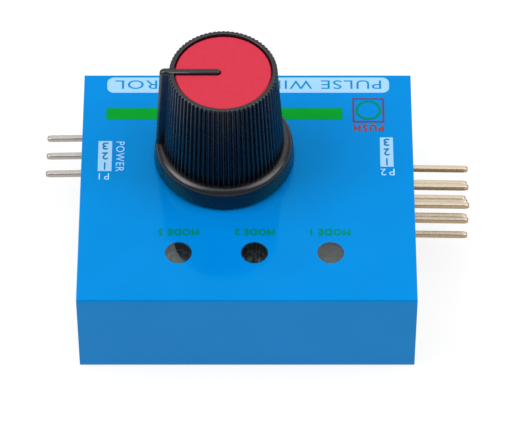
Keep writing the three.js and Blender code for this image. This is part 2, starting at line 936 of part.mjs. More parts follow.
function microcontroller() {
  const { length, width, height, standOff, span, legPitch, legWidth, legThickness } = controller;
  const bottom = boardTop + standOff;
  const body = centredBlock(width, length, bottom, bottom + height);
  const shoulder = bottom + height / 2;
  const root = width / 2 - bite;
  const heel = width / 2 + controller.heel;
  const toe = span / 2;
  const legShape = outline([
    [root, shoulder - legThickness],
    [heel - legThickness, shoulder - legThickness],
    [heel - legThickness, boardTop],
    [toe, boardTop],
    [toe, boardTop + legThickness],
    [heel, boardTop + legThickness],
    [heel, shoulder],
    [root, shoulder],
  ]);
  const legs = [];
  for (const turn of [0, Math.PI]) {
    for (const place of [-1.5, -0.5, 0.5, 1.5]) {
      legs.push(plateAcrossY(legShape, legWidth).rotateZ(turn).translate(0, place * legPitch, 0));
    }
  }
  const controllerPart = part('microcontroller', join(body, ...legs), materials.blackPlastic);
  return assembly(controller.x, controller.y, controllerPart);
}

function voltageRegulator() {
  const { length, width, height, legPitch, legWidth, legThickness } = regulator;
  const body = centredBlock(length, width, boardTop, boardTop + height);
  const legTop = boardTop + legThickness;
  const legEnd = width / 2 + regulator.legReach;
  const tabEnd = width / 2 + regulator.tabReach;
  const legs = [-1, 0, 1].map((place) => {
    const leg = block(-legWidth / 2, legWidth / 2, -legEnd, 0, boardTop, legTop);
    return leg.translate(place * legPitch, 0, 0);
  });
  const tab = block(-length / 4, length / 4, 0, tabEnd, boardTop, legTop);
  const regulatorPart = part('voltage_regulator', join(body, ...legs, tab), materials.blackPlastic);
  return assembly(regulator.x, regulator.y, regulatorPart);
}

// A chip with a slightly proud metal band round each end.
function chipPart({ name, x, y, turn }, height, surface) {
  const { length, width, bandLength, bandProud } = chip;
  const proudTop = boardTop + height;
  const body = centredBlock(length - bandLength, width - 2 * bandProud, boardTop, proudTop - bandProud);
  const bands = [-1, 1].map((sign) => {
    const band = centredBlock(bandLength, width, boardTop, proudTop);
    return band.translate((sign * (length - bandLength)) / 2, 0, 0);
  });
  const geometry = join(body, ...bands).rotateZ((turn * Math.PI) / 2);
  return assembly(x, y, part(name, geometry, surface));
}

// ---------------------------------------------------------------------------------------------------

const servoTester = new THREE.Group();
servoTester.add(
  sleeve(),
  seamTape(),
  circuitBoard(),
  potentiometer(),
  knobAssembly(),
  ...lamps.map(indicatorLamp),
  pushSwitch(),
  pinHeader(inputHeader),
  pinHeader(outputHeader),
  microcontroller(),
  voltageRegulator(),
  ...resistors.map((plan) => chipPart(plan, resistorHeight, materials.blackPlastic)),
  ...capacitors.map((plan) => chipPart(plan, capacitorHeight, materials.ceramic)),
);

export default servoTester;
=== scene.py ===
"""Servo tester: studio, camera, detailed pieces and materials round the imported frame."""

import json
import math

import bmesh
import bpy
from mathutils import Matrix, Vector


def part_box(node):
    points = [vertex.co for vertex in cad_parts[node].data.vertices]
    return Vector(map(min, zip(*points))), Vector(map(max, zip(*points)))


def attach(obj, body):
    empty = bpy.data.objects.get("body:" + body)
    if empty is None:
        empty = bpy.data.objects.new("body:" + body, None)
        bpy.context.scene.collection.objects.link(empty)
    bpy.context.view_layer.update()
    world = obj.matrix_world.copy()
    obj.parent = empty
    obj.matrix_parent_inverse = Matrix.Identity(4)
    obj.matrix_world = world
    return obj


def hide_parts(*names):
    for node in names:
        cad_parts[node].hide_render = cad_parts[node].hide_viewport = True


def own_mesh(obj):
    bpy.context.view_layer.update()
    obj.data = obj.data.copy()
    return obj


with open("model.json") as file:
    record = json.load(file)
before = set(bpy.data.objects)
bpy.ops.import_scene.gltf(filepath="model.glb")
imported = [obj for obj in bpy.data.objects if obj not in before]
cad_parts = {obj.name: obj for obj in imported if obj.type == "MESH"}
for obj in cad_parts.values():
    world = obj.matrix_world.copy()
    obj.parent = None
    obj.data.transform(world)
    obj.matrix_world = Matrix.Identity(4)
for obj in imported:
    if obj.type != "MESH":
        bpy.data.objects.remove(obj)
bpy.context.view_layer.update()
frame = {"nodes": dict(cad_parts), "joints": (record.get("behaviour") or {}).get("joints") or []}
scene = bpy.context.scene
mm = 0.001

# ----------------------------------------------------------------------------------------------------
# Driving dimensions
# ----------------------------------------------------------------------------------------------------

# Camera
camera_target = Vector((1.65, -4.88, 11.37)) * mm
camera_elevation = math.radians(51.2)
camera_distance = 409.2 * mm
camera_lens = 262.0

# Studio
sky_strength = 0.35
horizon_strength = 0.9
sky_band = 0.25
floor_half = 3.0
floor_drop = 0.02 * mm
softboxes = (
    # name, place, width, height, radiance
    ("softbox_back", (0, 0.5, 0.62), 1.0, 0.7, 0.8),
    ("softbox_left", (-0.4, -0.02, 0.55), 0.4, 0.4, 5.2),
    ("softbox_right", (0.4, -0.02, 0.55), 0.4, 0.4, 3.8),
    ("softbox_top", (0, 0.08, 0.75), 0.5, 0.4, 1.6),
)

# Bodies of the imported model
BODY = "tester_body"
ROTOR = "knob_rotor"

# Film sleeve
sleeve_low, sleeve_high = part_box("sleeve")
film_top = sleeve_high.z
film_thickness = 0.4 * mm
film_fold = 0.18 * mm
film_crease = 0.05 * mm
tape_thickness = 0.1 * mm
flap_reach = 10 * mm
free_edge_inset = 0.5 * mm
fold_steps = 6
window_radius = 1.43 * mm
bushing_hole_radius = 3.7 * mm
hole_sides = 96

# Print on the film. It lies just above the film's face.
print_lift = 0.003 * mm
print_thickness = 0.012 * mm
title_ends = (-15.45 * mm, 15.6 * mm)
title_edges = (13.13 * mm, 15.33 * mm)
title_corner = 0.75 * mm
title_size = (29.3 * mm, 1.24 * mm)
title_raise = 0.07 * mm
stripe_ends = (-15.45 * mm, 10.4 * mm)
stripe_edges = (9.3 * mm, 10.9 * mm)
square_corner = 0.02 * mm
push_ring_radius = 1.4 * mm
push_ring_line = 0.27 * mm
push_frame_half = 1.75 * mm
push_frame_line = 0.22 * mm
push_word_drop = 2.55 * mm
push_word_size = (3.3 * mm, 1.05 * mm)
mode_word_line = -6.5 * mm
mode_word_size = (4.3 * mm, 0.92 * mm)
row_numbers = (("3", 0.66 * mm), ("2", 0.66 * mm), ("1", 0.17 * mm))
row_number_height = 1.02 * mm
header_word_drop = 0.75 * mm
header_box_corner = 0.04 * mm
header_labels = (
    # header, designator, size of the designator, its shift, middle, front and back edges, width of the box
    ("output", "P2", (1.5 * mm, 0.92 * mm), 0.05 * mm, 15.14 * mm, (2.56 * mm, 6.7 * mm), 1.42 * mm),
    ("input", "P1", (1.1 * mm, 0.88 * mm), -0.05 * mm, -15.45 * mm, (1.95 * mm, 6.18 * mm), 1.5 * mm),
)
supply_place = (-13.8 * mm, 4.0 * mm)
supply_size = (0.9 * mm, 4.2 * mm)

# Knob
turning = next(joint for joint in frame["joints"] if joint["name"] == "knob_turn")
axis = Vector((turning["pos_m"][0], turning["pos_m"][1], 0))
knob_low, knob_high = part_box("knob_body")
flange_radius = knob_high.x - axis.x
flange_top_radius = 7.45 * mm
flange_top = 14.2 * mm
flange_crown = (0.85 * mm, 0.7 * mm)
cone_radius = 6.5 * mm
rim_radius = 5.75 * mm
rim_top = knob_high.z - 0.15 * mm
rim_round = 0.22 * mm
recess_radius = 5.2 * mm
recess_floor = 24.2 * mm
ribs = 72
points_per_rib = 10
rib_depth = 0.32 * mm
rib_end = rim_top + 0.01 * mm
rib_run_out = 0.3 * mm
rib_arch = 0.25 * mm
ridge_share = 0.15
flank_share = 0.75
run_out_power = 0.6
rim_edge = 0.07 * mm
shell_edge = 0.12 * mm
skirt_relief = 0.2 * mm
bar_sink = 0.1 * mm
cone_drops = [drop * mm for drop in (0.08, 0.16, 0.24, 0.32, 0.45, 0.7, 3, 6, 9)]
shell_wall = 1.3 * mm
web_thickness = 1.6 * mm
boss_radius = 4 * mm
boss_underside = 14.9 * mm
bore_radius = 3.05 * mm
bore_roof = 23.3 * mm
fin_width = 0.9 * mm
fin_foot = 7.4 * mm
fin_shoulder = 6.75 * mm
fin_root = 5.3 * mm
fin_round = 0.4 * mm
fin_lean = 0.25 * mm
bar_width = 0.7 * mm
bar_start = 0.3 * mm
bar_end = 6.1 * mm
bar_top = 25.6 * mm
bar_round = 0.22 * mm

# Lamps
lamp_names = ("auto", "neutral", "man")
lamp_radius = 1.5 * mm
lamp_flange_radius = 1.9 * mm
lamp_flange_height = 1 * mm

# Push switch
dome_thickness = 0.1 * mm
dome_steps = 8

# Board
board_low, board_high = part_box("circuit_board")
copper_thickness = 0.035 * mm
solder_radius = 0.75 * mm
solder_neck = 0.3 * mm
solder_rise = 0.34 * mm
solder_steps = 5
half_pin = 0.32 * mm
half_leg = 0.2 * mm
track_half = 0.2 * mm
track_run = 3.2 * mm
track_overlap = 0.3 * mm
lamp_lead_offset = 1.27 * mm
lamp_track_run = 3.6 * mm
surface_tuck = 0.01 * mm


# ----------------------------------------------------------------------------------------------------
# Camera and studio
# ----------------------------------------------------------------------------------------------------

def look_at(obj, place, target):
    obj.location = place
    obj.rotation_mode = "QUATERNION"
    obj.rotation_quaternion = (target - place).to_track_quat("-Z", "Y")


def add_camera():
    data = bpy.data.cameras.new("camera")
    data.lens = camera_lens
    data.sensor_width = 36
    data.clip_start = 0.01
    camera = bpy.data.objects.new("camera", data)
    scene.collection.objects.link(camera)
    back = Vector((0, -math.cos(camera_elevation), math.sin(camera_elevation)))
    look_at(camera, camera_target + back * camera_distance, camera_target)
    scene.camera = camera


def area_light(name, place, width, height, radiance):
    """A soft panel facing the model. It looks radiance times as bright as white paper."""
    data = bpy.data.lights.new(name, "AREA")
    data.shape = "RECTANGLE"
    data.size = width
    data.size_y = height
    data.energy = radiance * math.pi * width * height
    light = bpy.data.objects.new(name, data)
    scene.collection.objects.link(light)
    look_at(light, Vector(place), Vector((0, 0, film_top)))


def pale_sky():
    """An even soft sky that brightens towards the horizon, where it meets the pale floor."""
    world = bpy.data.worlds.new("studio")
    world.use_nodes = True
    tree = world.node_tree
    background = tree.nodes["Background"]
    background.inputs["Color"].default_value = (0.97, 0.985, 1, 1)
    coordinates = tree.nodes.new("ShaderNodeTexCoord")
    parts = tree.nodes.new("ShaderNodeSeparateXYZ")
    climb = tree.nodes.new("ShaderNodeMapRange")
    climb.inputs["From Min"].default_value = 0
    climb.inputs["From Max"].default_value = sky_band
    climb.inputs["To Min"].default_value = horizon_strength
    climb.inputs["To Max"].default_value = sky_strength
    tree.links.new(coordinates.outputs["Generated"], parts.inputs["Vector"])
    tree.links.new(parts.outputs["Z"], climb.inputs["Value"])
    tree.links.new(climb.outputs["Result"], background.inputs["Strength"])
    scene.world = world


def add_studio():
    pale_sky()
    scene.view_settings.view_transform = "Standard"
    for softbox in softboxes:
        area_light(*softbox)


def add_floor():
    half = floor_half
    z = -floor_drop
    corners = [(-half, -half, z), (half, -half, z), (half, half, z), (-half, half, z)]
    floor = mesh_object("floor", corners, [(0, 1, 2, 3)])
    floor.data.materials.append(floor_surface())


# ----------------------------------------------------------------------------------------------------
# Mesh building
# ----------------------------------------------------------------------------------------------------

def mesh_object(name, vertices, faces):
    mesh = bpy.data.meshes.new(name)
    mesh.from_pydata([tuple(vertex) for vertex in vertices], [], faces)
    mesh.validate()
    piece = bpy.data.objects.new(name, mesh)
    scene.collection.objects.link(piece)
    return piece


def fix_normals(piece):
    work = bmesh.new()
    work.from_mesh(piece.data)
    bmesh.ops.recalc_face_normals(work, faces=work.faces)
    work.to_mesh(piece.data)
    work.free()


def smooth(piece, sharp_degrees=40):
    piece.data.shade_smooth()
    piece.data.set_sharp_from_angle(angle=math.radians(sharp_degrees))


def loft(name, rings):
    """A closed solid through rings of equal length, each end closed by a fan about the ring's middle."""
    count = len(rings[0])
    vertices = [point for ring in rings for point in ring]
    faces = []
    for level in range(len(rings) - 1):
        for i in range(count):
            j = (i + 1) % count
            low = level * count
            faces.append((low + i, low + j, low + count + j, low + count + i))
    for level in (0, len(rings) - 1):
        middle = sum((Vector(point) for point in rings[level]), Vector()) / count
        vertices.append(middle)
        for i in range(count):
            faces.append((level * count + i, level * count + (i + 1) % count, len(vertices) - 1))
    piece = mesh_object(name, vertices, faces)
    fix_normals(piece)
    return piece


def circle(centre, radius, height, sides):
    steps = (2 * math.pi * i / sides for i in range(sides))
    return [
        Vector((centre.x + radius * math.cos(a), centre.y + radius * math.sin(a), height))
        for a in steps
    ]


def turned(name, centre, profile, sides=48):
    """A solid of revolution about an upright axis from (radius, height) pairs."""
    return loft(name, [circle(centre, radius, height, sides) for radius, height in profile])


def quarter(radius, top, round_radius, steps=5):
    """(radius, height) pairs from the side of a round piece over its rounded edge to its top."""
    pairs = []
    for i in range(steps + 1):
        a = math.pi / 2 * i / steps
        out = radius - round_radius * (1 - math.cos(a))
        pairs.append((out, top - round_radius * (1 - math.sin(a))))
    return pairs


def box_mesh(work, low, high):
    """Adds a block to a bmesh."""
    size = Vector(high) - Vector(low)
    middle = (Vector(high) + Vector(low)) / 2
    matrix = Matrix.Translation(middle) @ Matrix.Diagonal((*size, 1))
    bmesh.ops.create_cube(work, size=1, matrix=matrix)


def blocks(name, corners):
    """One piece made of several blocks, from (low, high) corner pairs."""
    work = bmesh.new()
    for low, high in corners:
        box_mesh(work, low, high)
    mesh = bpy.data.meshes.new(name)
    work.to_mesh(mesh)
    work.free()
    piece = bpy.data.objects.new(name, mesh)
    scene.collection.objects.link(piece)
    return piece


def join_pieces(name, pieces):
    """One mesh out of several, each with its place already in its vertices."""
    work = bmesh.new()
    for piece in pieces:
        work.from_mesh(piece.data)
        bpy.data.objects.remove(piece)
    mesh = bpy.data.meshes.new(name)
    work.to_mesh(mesh)
    work.free()
    joined = bpy.data.objects.new(name, mesh)
    scene.collection.objects.link(joined)
    return joined


def soften(piece, width, segments=3, weld=False):
    """Rounds the sharp edges with modifiers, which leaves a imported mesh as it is."""
    if weld:
        piece.modifiers.new("weld", "WELD").merge_threshold = 0.0005 * mm
    bevel = piece.modifiers.new("bevel", "BEVEL")
    bevel.width = width
    bevel.segments = segments
    bevel.limit_method = "ANGLE"
    bevel.angle_limit = math.radians(40)
    bevel.harden_normals = False
    piece.data.shade_smooth()
    weighted = piece.modifiers.new("normals", "WEIGHTED_NORMAL")
    weighted.keep_sharp = False


def apply_modifiers(piece):
    shown = piece.evaluated_get(bpy.context.evaluated_depsgraph_get())
    mesh = bpy.data.meshes.new_from_object(shown)
    mesh.name = piece.name
    piece.modifiers.clear()
    piece.data = mesh


def carve(piece, cutters):
    """Cuts each cutter out of the piece and removes the cutters."""
    for cutter in cutters:
        cutting = piece.modifiers.new("cut", "BOOLEAN")
        cutting.operation = "DIFFERENCE"
        cutting.solver = "EXACT"
        cutting.object = cutter
    apply_modifiers(piece)
    for cutter in cutters:
        bpy.data.objects.remove(cutter)


def dress(piece, body, material):
    """Gives a new piece its material and the body it rides on."""
    piece.data.materials.clear()
    piece.data.materials.append(material)
    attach(piece, body)
    return piece


# ----------------------------------------------------------------------------------------------------
# Material building
# ----------------------------------------------------------------------------------------------------

class Surface:
    """A Principled material with helpers that add procedural variation to it."""

    def __init__(self, name, colour, roughness, **sockets):
        self.material = bpy.data.materials.new(name)
        self.material.use_nodes = True
        self.tree = self.material.node_tree
        self.shader = self.tree.nodes["Principled BSDF"]
        self.colour = colour
        self.set("Base Color", (*colour, 1))
        self.set("Roughness", roughness)
        for socket, value in sockets.items():
            self.set(socket.replace("_", " "), value)

    def set(self, socket, value):
        self.shader.inputs[socket].default_value = value

    def node(self, kind, **inputs):
        made = self.tree.nodes.new(kind)
        for socket, value in inputs.items():
            made.inputs[socket.replace("_", " ")].default_value = value
        return made

    def link(self, output, target):
        self.tree.links.new(output, target)

    def place(self, stretch=(1, 1, 1)):
        """The point on the object, stretched along its axes."""
        coordinates = self.tree.nodes.new("ShaderNodeTexCoord")
        mapping = self.node("ShaderNodeMapping", Scale=stretch)
        self.link(coordinates.outputs["Object"], mapping.inputs["Vector"])
        return mapping.outputs["Vector"]

    def noise(self, size, detail=3.0, stretch=(1, 1, 1)):
        """Cloudy noise whose blotches are about size across."""
        texture = self.node("ShaderNodeTexNoise", Scale=1 / size, Detail=detail)
        self.link(self.place(stretch), texture.inputs["Vector"])
        return texture.outputs["Fac"]

    def cells(self, size, stretch=(1, 1, 1)):
        """Round-cornered grains about size across."""
        texture = self.node("ShaderNodeTexVoronoi", Scale=1 / size)
        self.link(self.place(stretch), texture.inputs["Vector"])
        return texture.outputs["Distance"]

    def span(self, factor, low, high, start=0.3, end=0.7):
        """Turns a factor's range from start to end into low to high."""
        mapped = self.tree.nodes.new("ShaderNodeMapRange")
        for socket, value in (("From Min", start), ("From Max", end), ("To Min", low), ("To Max", high)):
            mapped.inputs[socket].default_value = value
        self.link(factor, mapped.inputs["Value"])
        return mapped.outputs["Result"]

    def vary(self, socket, factor, low, high):
        self.link(self.span(factor, low, high), self.shader.inputs[socket])

    def tint(self, factor, dark, light):
        """Mixes the base colour between two colours."""
        mix = self.tree.nodes.new("ShaderNodeMix")
        mix.data_type = "RGBA"
        mix.inputs[6].default_value = (*dark, 1)
        mix.inputs[7].default_value = (*light, 1)
        self.link(self.span(factor, 0, 1), mix.inputs[0])
        self.link(mix.outputs[2], self.shader.inputs["Base Color"])
        return mix.outputs[2]

    def shade(self, factor, spread):
        """Makes the base colour darker and lighter by a share of itself."""
        dark = tuple(channel * (1 - spread) for channel in self.colour)
        light = tuple(min(1, channel * (1 + spread)) for channel in self.colour)
        return self.tint(factor, dark, light)

    def bump(self, *layers):
        """Adds (height factor, depth) layers of relief, each on top of the last."""
        normal = None
        for factor, depth in layers:
            relief = self.node("ShaderNodeBump", Strength=1.0, Distance=depth)
            self.link(factor, relief.inputs["Height"])
            if normal is not None:
                self.link(normal, relief.inputs["Normal"])
            normal = relief.outputs["Normal"]
        self.link(normal, self.shader.inputs["Normal"])


def floor_surface():
    surface = Surface("floor_light_table", (0.18, 0.18, 0.18), 0.9)
    surface.set("Emission Color", (1, 1, 1, 1))
    surface.set("Emission Strength", 0.82)
    surface.shade(surface.noise(40 * mm), 0.01)
    return surface.material


def gloss_film(name, colour, reflection=(0, 1, 0.25), spread=0.03):
    """Printed ink under glossy film. The tint of the reflection keeps the ink's colour saturated."""
    surface = Surface(name, colour, 0.07, IOR=1.5)
    surface.set("Specular IOR Level", 0.3)
    surface.set("Specular Tint", (*reflection, 1))
    surface.shade(surface.noise(6 * mm), spread)
    surface.vary("Roughness", surface.noise(3 * mm), 0.05, 0.12)
    surface.bump((surface.noise(9 * mm, 1), 0.03 * mm), (surface.noise(0.25 * mm), 0.0006 * mm))
    return surface.material


def clear_film():
    surface = Surface("film_clear", (0.45, 0.53, 0.53), 0.01, IOR=1.6)
    surface.set("Transmission Weight", 1.0)
    surface.vary("Roughness", surface.noise(2 * mm), 0.0, 0.02)
    surface.bump((surface.noise(4 * mm, 1), 0.002 * mm))
    return surface.material


def knob_plastic():
    surface = Surface("knob_plastic", (0.002, 0.002, 0.006), 0.27, IOR=1.55)
    surface.shade(surface.noise(1.5 * mm), 0.3)
    surface.vary("Roughness", surface.noise(0.8 * mm), 0.22, 0.32)
    surface.bump((surface.noise(0.1 * mm), 0.0012 * mm), (surface.noise(1.2 * mm, 1), 0.004 * mm))
    return surface.material


def cap_plastic():
    surface = Surface("cap_plastic", (0.515, 0.015, 0.041), 0.55)
    surface.set("Specular IOR Level", 0.3)
    surface.shade(surface.noise(0.22 * mm, 4), 0.06)
    surface.vary("Roughness", surface.noise(0.5 * mm), 0.45, 0.65)
    surface.bump((surface.noise(0.1 * mm, 4), 0.008 * mm))
    return surface.material


def moulded_black():
    surface = Surface("moulded_black", (0.018, 0.018, 0.02), 0.45)
    surface.shade(surface.noise(1 * mm), 0.3)
    surface.vary("Roughness", surface.noise(0.4 * mm), 0.35, 0.6)
    surface.bump((surface.noise(0.08 * mm), 0.004 * mm))
    return surface.material


def plated_pin(name, bright, painted_shade_colour, roughness):
    """Drawn and plated wire: long fine scratches, small pits, and painted shade that darkens every face
    which does not face up.
    """
    surface = Surface(name, bright, roughness, Metallic=1.0)
    streaks = surface.noise(0.05 * mm, 4, (0.06, 1, 1))
    patches = surface.noise(0.5 * mm, 3, (0.5, 1, 1))
    colour = surface.tint(patches, tuple(0.93 * channel for channel in bright), bright)
    # Painted shade: faces that point sideways or down get the darker third colour, and faces that point up
    # keep the plating's colour.
    geometry = surface.tree.nodes.new("ShaderNodeNewGeometry")
    parts = surface.tree.nodes.new("ShaderNodeSeparateXYZ")
    surface.link(geometry.outputs["Normal"], parts.inputs["Vector"])
    painted_shade_mask = surface.span(parts.outputs["Z"], 1, 0, 0.2, 0.75)
    mix = surface.tree.nodes.new("ShaderNodeMix")
    mix.data_type = "RGBA"
    surface.link(painted_shade_mask, mix.inputs[0])
    surface.link(colour, mix.inputs[6])
    mix.inputs[7].default_value = (*painted_shade_colour, 1)
    surface.link(mix.outputs[2], surface.shader.inputs["Base Color"])
    surface.vary("Roughness", streaks, roughness - 0.08, roughness + 0.1)
    surface.bump((streaks, 0.0006 * mm), (surface.noise(0.25 * mm), 0.001 * mm))
    return surface.material


def brushed_metal(name, colour, roughness):
    surface = Surface(name, colour, roughness, Metallic=1.0)
    grain = surface.noise(0.06 * mm, 3, (1, 0.08, 1))
    surface.shade(surface.noise(1.5 * mm), 0.08)
    surface.vary("Roughness", grain, roughness - 0.07, roughness + 0.1)
    surface.bump((grain, 0.002 * mm))
    return surface.material


def solder_metal():
    surface = Surface("solder", (0.62, 0.63, 0.64), 0.28, Metallic=1.0)
    surface.shade(surface.noise(0.3 * mm), 0.12)
    surface.bump((surface.noise(0.35 * mm), 0.01 * mm))
    return surface.material


def copper_under_mask():
    surface = Surface("covered_copper", (0.02, 0.16, 0.075), 0.35)
    surface.shade(surface.noise(0.6 * mm), 0.15)
    return surface.material


def board_laminate():
    surface = Surface("board_laminate", (0.008, 0.1, 0.045), 0.38)
    weave = surface.cells(0.35 * mm)
    surface.shade(surface.noise(1.2 * mm), 0.2)
    surface.vary("Roughness", surface.noise(0.6 * mm), 0.3, 0.48)
    surface.bump((weave, 0.004 * mm))
    return surface.material


def plain_plastic(name, colour, roughness, spread=0.08):
    surface = Surface(name, colour, roughness)
    surface.shade(surface.noise(0.7 * mm), spread)
    surface.vary("Roughness", surface.noise(0.4 * mm), roughness - 0.1, roughness + 0.1)
    surface.bump((surface.noise(0.15 * mm), 0.004 * mm))
    return surface.material


def clear_resin():
    surface = Surface("lamp_resin", (0.86, 0.88, 0.88), 0.06, IOR=1.5)
    surface.set("Transmission Weight", 1.0)
    surface.vary("Roughness", surface.noise(0.8 * mm), 0.03, 0.1)
    surface.bump((surface.noise(0.6 * mm), 0.004 * mm))
    return surface.material


film_blue = gloss_film("film_blue", (0.0, 0.195, 0.59))
ink_green = gloss_film("ink_green", (0.0, 0.285, 0.016), (0, 1, 0.3), 0.1)
ink_word_green = gloss_film("ink_word_green", (0.0, 0.19, 0.095), (0, 1, 0.6), 0.08)
ink_red = gloss_film("ink_red", (0.24, 0.045, 0.05), (0.6, 0.3, 0.3), 0.08)
ink_frame_red = gloss_film("ink_frame_red", (0.085, 0.05, 0.16), (0.4, 0.4, 0.6), 0.08)
ink_pale = gloss_film("ink_pale", (0.3, 0.53, 0.78), (0.6, 1, 1), 0.02)
ink_white = gloss_film("ink_white", (0.34, 0.62, 0.88), (0.7, 1, 1), 0.02)
ink_blue = gloss_film("ink_blue", (0.0, 0.15, 0.38))
ink_title = gloss_film("ink_title", (0.0, 0.2, 0.5))
window_clear = clear_film()
black_plastic = moulded_black()
# The third colour of each pin is painted shade for its faces that do not face up.
tinned = plated_pin("tinned_pin", (0.52, 0.475, 0.435), (0.42, 0.38, 0.35), 0.26)
gold = plated_pin("gold_pin", (0.66, 0.56, 0.42), (0.42, 0.31, 0.19), 0.22)
solder = solder_metal()
covered_copper = copper_under_mask()

slot_materials = {
    "film": film_blue,
    "tape": plain_plastic("tape_paper", (0.8, 0.77, 0.7), 0.7),
    "laminate": board_laminate(),
    "knob_black": knob_plastic(),
    "cap_red": cap_plastic(),
    "black_plastic": black_plastic,
    "phenolic": plain_plastic("phenolic_board", (0.25, 0.1, 0.03), 0.6, 0.2),
    "steel": brushed_metal("pressed_steel", (0.55, 0.56, 0.57), 0.3),
    "zinc": brushed_metal("cast_zinc", (0.6, 0.6, 0.61), 0.33),
    "bronze": brushed_metal("spring_bronze", (0.72, 0.45, 0.22), 0.28),
    "tinned_metal": tinned,
    "gold_pin": gold,
    "nylon": plain_plastic("nylon", (0.7, 0.67, 0.6), 0.5),
    "lamp_resin": clear_resin(),
    "ceramic": plain_plastic("ceramic_chip", (0.45, 0.33, 0.2), 0.5, 0.15),
}


# ----------------------------------------------------------------------------------------------------
# Film sleeve with its windows
# ----------------------------------------------------------------------------------------------------

def fold_arc(y, z, radius, start, end):
    """Points round a fold in the (y, z) plane, angles in quarter turns."""
    points = []
    for i in range(fold_steps + 1):
        a = math.pi / 2 * (start + (end - start) * i / fold_steps)
        points.append((y + radius * math.cos(a), z + radius * math.sin(a)))
    return points


def sleeve_section():
    """The wrapped sheet's section: free edge, bottom, front, top, back, and the flap inside the bottom."""
    side = sleeve_high.y
    flap = sleeve_low.z + film_thickness + tape_thickness
    outer = side - film_fold
    outer_low = sleeve_low.z + film_fold
    outer_high = film_top - film_fold
    inner = side - film_thickness - film_crease
    inner_low = sleeve_low.z + film_thickness + film_crease
    inner_high = film_top - film_thickness - film_crease
    return [
        (side - free_edge_inset, sleeve_low.z),
        *fold_arc(-outer, outer_low, film_fold, -1, -2),
        *fold_arc(-outer, outer_high, film_fold, 2, 1),
        *fold_arc(outer, outer_high, film_fold, 1, 0),
        *fold_arc(outer, flap + film_fold, film_fold, 0, -1),
        (side - flap_reach, flap),
        (side - flap_reach, flap + film_thickness),
        *fold_arc(inner, flap + film_thickness + film_crease, film_crease, -1, 0),
        *fold_arc(inner, inner_high, film_crease, 0, 1),
        *fold_arc(-inner, inner_high, film_crease, 1, 2),
        *fold_arc(-inner, inner_low, film_crease, 2, 3),
        (side - free_edge_inset, sleeve_low.z + film_thickness),
    ]


def lamp_centre(name):
    low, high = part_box(f"led_{name}")
    middle = (low + high) / 2
    return Vector((middle.x, middle.y, 0))


def film_sleeve():
    section = sleeve_section()
    count = len(section)
    vertices = [(x, y, z) for x in (sleeve_low.x, sleeve_high.x) for y, z in section]
    faces = [tuple(range(count)), tuple(range(2 * count - 1, count - 1, -1))]
    for i in range(count):
        j = (i + 1) % count
        faces.append((i, j, count + j, count + i))
    sleeve = mesh_object("film_sleeve", vertices, faces)
    fix_normals(sleeve)
    reach = 1 * mm
    depth = [film_top - reach, film_top + reach]
    cutters = [turned("hole", axis, [(bushing_hole_radius, z) for z in depth], hole_sides)]
    for name in lamp_names:
        cutters.append(turned("hole", lamp_centre(name), [(window_radius, z) for z in depth], hole_sides))
    carve(sleeve, cutters)
    smooth(sleeve, 25)
    sleeve.modifiers.new("normals", "WEIGHTED_NORMAL").keep_sharp = True
    dress(sleeve, BODY, film_blue)
    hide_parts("sleeve")


def window_pane(name):
    """The clear, unprinted round of film over a lamp."""
    profile = [(window_radius, film_top - film_thickness), (window_radius, film_top)]
    pane = turned(f"window_{name}", lamp_centre(name), profile, hole_sides)
    dress(pane, BODY, window_clear)
    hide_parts("sleeve")


# ----------------------------------------------------------------------------------------------------
# Print
# ----------------------------------------------------------------------------------------------------

def thicken(piece, lift):
    """Makes a flat shape into a closed sliver that starts lift above the film, always in the same order."""
    work = bmesh.new()
    work.from_mesh(piece.data)
    bmesh.ops.remove_doubles(work, verts=work.verts, dist=0.0001 * mm)
    work.verts.index_update()
    heights = (film_top + lift, film_top + lift + print_thickness)
    vertices = [(vertex.co.x, vertex.co.y, z) for z in heights for vertex in work.verts]
    flat = [[vertex.index for vertex in face.verts] for face in work.faces]
    rims = [[vertex.index for vertex in edge.verts] for edge in work.edges if edge.is_boundary]
    up = len(work.verts)
    work.free()
    faces = flat + [[i + up for i in face] for face in flat]
    faces += [(i, j, j + up, i + up) for i, j in rims]
    mesh = bpy.data.meshes.new(piece.name)
    mesh.from_pydata(vertices, [], faces)
    piece.data = mesh
    fix_normals(piece)


def layer_lift(layer):
    return print_lift + layer * print_thickness


def press(piece, ink, layer=0):
    """Prints a flat shape on the film. Later layers lie on earlier ones."""
    thicken(piece, layer_lift(layer))
    dress(piece, BODY, ink)
    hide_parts("sleeve")


def curve_to_mesh(name, curve):
    holder = bpy.data.objects.new(name, curve)
    scene.collection.objects.link(holder)
    bpy.context.view_layer.update()
    mesh = bpy.data.meshes.new_from_object(holder.evaluated_get(bpy.context.evaluated_depsgraph_get()))
    bpy.data.objects.remove(holder)
    piece = bpy.data.objects.new(name, mesh)
    scene.collection.objects.link(piece)
    return piece


def filled(name, loops):
    """A flat shape from closed loops of (x, y) points. An inner loop is a hole."""
    curve = bpy.data.curves.new(name, "CURVE")
    curve.dimensions = "2D"
    curve.fill_mode = "BOTH"
    for loop in loops:
        spline = curve.splines.new("POLY")
        spline.points.add(len(loop) - 1)
        for point, (x, y) in zip(spline.points, loop):
            point.co = (x, y, 0, 1)
        spline.use_cyclic_u = True
    return curve_to_mesh(name, curve)


def rounded_rectangle(x0, x1, y0, y1, radius, steps=8):
    points = []
    corners = ((x1, y1, -1, -1, 0), (x0, y1, 1, -1, 1), (x0, y0, 1, 1, 2), (x1, y0, -1, 1, 3))
    for x, y, inward_x, inward_y, quarter_turn in corners:
        for i in range(steps + 1):
            a = math.pi / 2 * (quarter_turn + i / steps)
            centre_x = x + inward_x * radius
            centre_y = y + inward_y * radius
            points.append((centre_x + radius * math.cos(a), centre_y + radius * math.sin(a)))
    return points


def round_loop(x, y, radius, steps=64):
    angles = (2 * math.pi * i / steps for i in range(steps))
    return [(x + radius * math.cos(a), y + radius * math.sin(a)) for a in angles]


